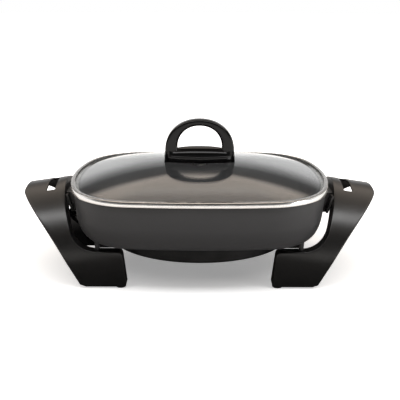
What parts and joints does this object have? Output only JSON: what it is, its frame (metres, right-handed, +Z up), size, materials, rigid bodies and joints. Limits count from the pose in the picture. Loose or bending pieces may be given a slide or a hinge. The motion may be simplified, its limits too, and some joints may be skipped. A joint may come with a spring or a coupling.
{
  "type": "electric skillet",
  "caption": "Rectangular electric skillet: cast pan on two arched handle-legs, oval heater ring below, socket guard at one end, lift-off domed glass lid with a loop knob.",
  "frame": {"origin": "on the table under the middle of the pan (centre of the bounding box's underside)", "axes": "+X along the pan's length towards the end without terminals, +Y towards the back in the picture, +Z up"},
  "size_m": [0.5204, 0.305, 0.2262],
  "materials": {
    "pan_enamel": "cast, satin charcoal enamel outside, grey non-stick inside",
    "ring_aluminium": "cast, dark",
    "element_sheath": "dull sheath",
    "gloss_moulding": "glossy black",
    "satin_moulding": "satin black with a fine grain",
    "foot_rubber": "matte",
    "pin_nickel": "nickel plated",
    "bead_ceramic": "unglazed ceramic",
    "fastener_steel": "zinc plated",
    "lid_glass": "clear tempered glass",
    "polished_steel": "polished stainless steel",
    "silicone": "grey silicone",
    "insert_brass": "turned"
  },
  "bodies": {
    "base": {"pan": "pan_enamel", "heater_ring": "ring_aluminium", "heating_element": "element_sheath", "probe_well": "ring_aluminium", "socket_guard": "gloss_moulding", "handle_leg_left": "satin_moulding", "handle_leg_right": "satin_moulding", "neck_left": "satin_moulding", "neck_right": "satin_moulding", "foot_front_left": "foot_rubber", "foot_front_right": "foot_rubber", "foot_rear_left": "foot_rubber", "foot_rear_right": "foot_rubber", "terminal_pin_1": "pin_nickel", "terminal_bead_1": "bead_ceramic", "guard_screw_1": "fastener_steel", "terminal_pin_2": "pin_nickel", "terminal_bead_2": "bead_ceramic", "guard_screw_2": "fastener_steel", "shelf_screw_1": "fastener_steel", "neck_screw_1": "fastener_steel", "shelf_screw_2": "fastener_steel", "neck_screw_2": "fastener_steel", "shelf_screw_3": "fastener_steel", "neck_screw_3": "fastener_steel", "shelf_screw_4": "fastener_steel", "neck_screw_4": "fastener_steel"},
    "lid": {"lid_glass": "lid_glass", "lid_band": "polished_steel", "lid_seal": "silicone", "lid_knob": "gloss_moulding", "knob_grommet": "silicone", "knob_washer": "fastener_steel", "knob_insert": "insert_brass", "knob_screw": "fastener_steel"}
  },
  "joints": [
    {"name": "lid_lift", "type": "slide", "parent": "base", "child": "lid", "axis": [0, 0, 1], "range_m": [0, 0.12]}
  ]
}
